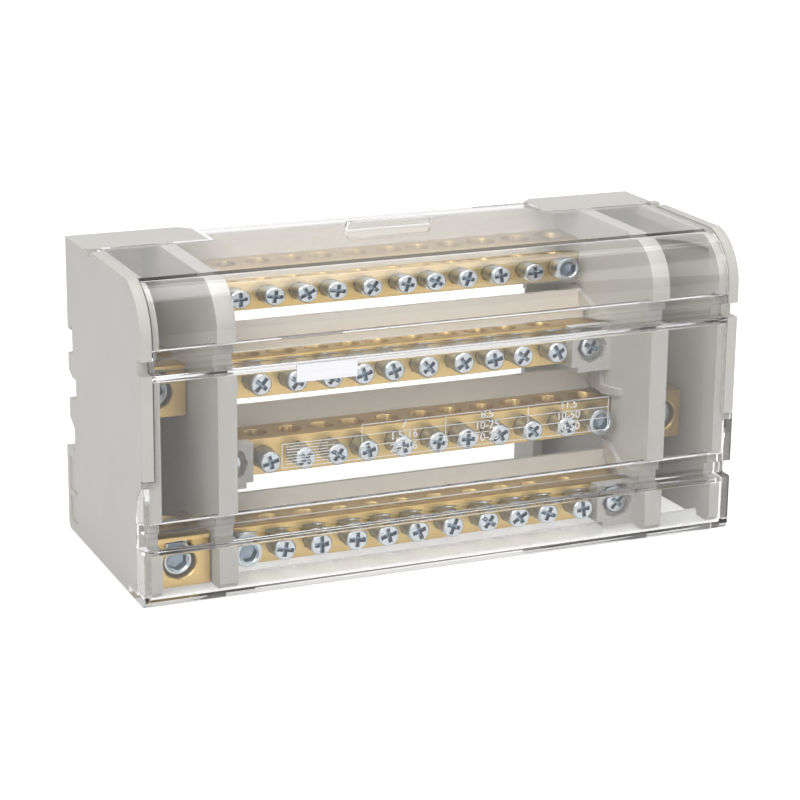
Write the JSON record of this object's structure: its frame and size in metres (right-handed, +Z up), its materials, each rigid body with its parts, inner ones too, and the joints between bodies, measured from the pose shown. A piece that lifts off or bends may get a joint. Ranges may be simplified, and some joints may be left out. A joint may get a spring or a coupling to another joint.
{
  "type": "power distribution block",
  "caption": "Four-pole rail-mounted distribution block with staggered brass bars, screw terminals, end lugs and a clear lift-off cover.",
  "frame": {"origin": "centre of the base", "axes": "+X along the block, -Y towards the front face, +Z up"},
  "size_m": [0.176, 0.0724, 0.0894],
  "materials": {
    "moulding": "fine satin moulding, warm light grey",
    "clear": "clear polycarbonate",
    "plate": "plain silver plate",
    "clip": "satin moulding, slightly darker grey",
    "brass": "drawn and machined",
    "barrier": "satin sheet",
    "zinc": "bright zinc plate"
  },
  "bodies": {
    "block": {"housing_left": "moulding", "housing_right": "moulding", "bar_1": "brass", "barrier_1": "barrier", "lug_1": "brass", "clamp_screws_1": "zinc", "bar_2": "brass", "barrier_2": "barrier", "lug_2": "brass", "clamp_screws_2": "zinc", "bar_3": "brass", "barrier_3": "barrier", "lug_3": "brass", "clamp_screws_3": "zinc", "bar_4": "brass", "barrier_4": "barrier", "lug_4": "brass", "clamp_screws_4": "zinc", "terminal_screws": "zinc", "fixing_screws": "zinc", "input_screws": "zinc"},
    "cover": {"cover": "clear", "label_plate": "plate"},
    "foot_left": {"rail_clip_left": "clip"},
    "foot_right": {"rail_clip_right": "clip"}
  },
  "joints": [
    {"name": "cover_pull", "type": "slide", "parent": "block", "child": "cover", "axis": [0, -1, 0], "range_m": [0, 0.08]},
    {"name": "foot_left_slide", "type": "slide", "parent": "block", "child": "foot_left", "axis": [0, 0, -1], "range_m": [0, 0.004], "stiffness_N_per_m": 400, "springref_m": -0.001},
    {"name": "foot_right_slide", "type": "slide", "parent": "block", "child": "foot_right", "axis": [0, 0, -1], "range_m": [0, 0.004], "stiffness_N_per_m": 400, "springref_m": -0.001}
  ]
}
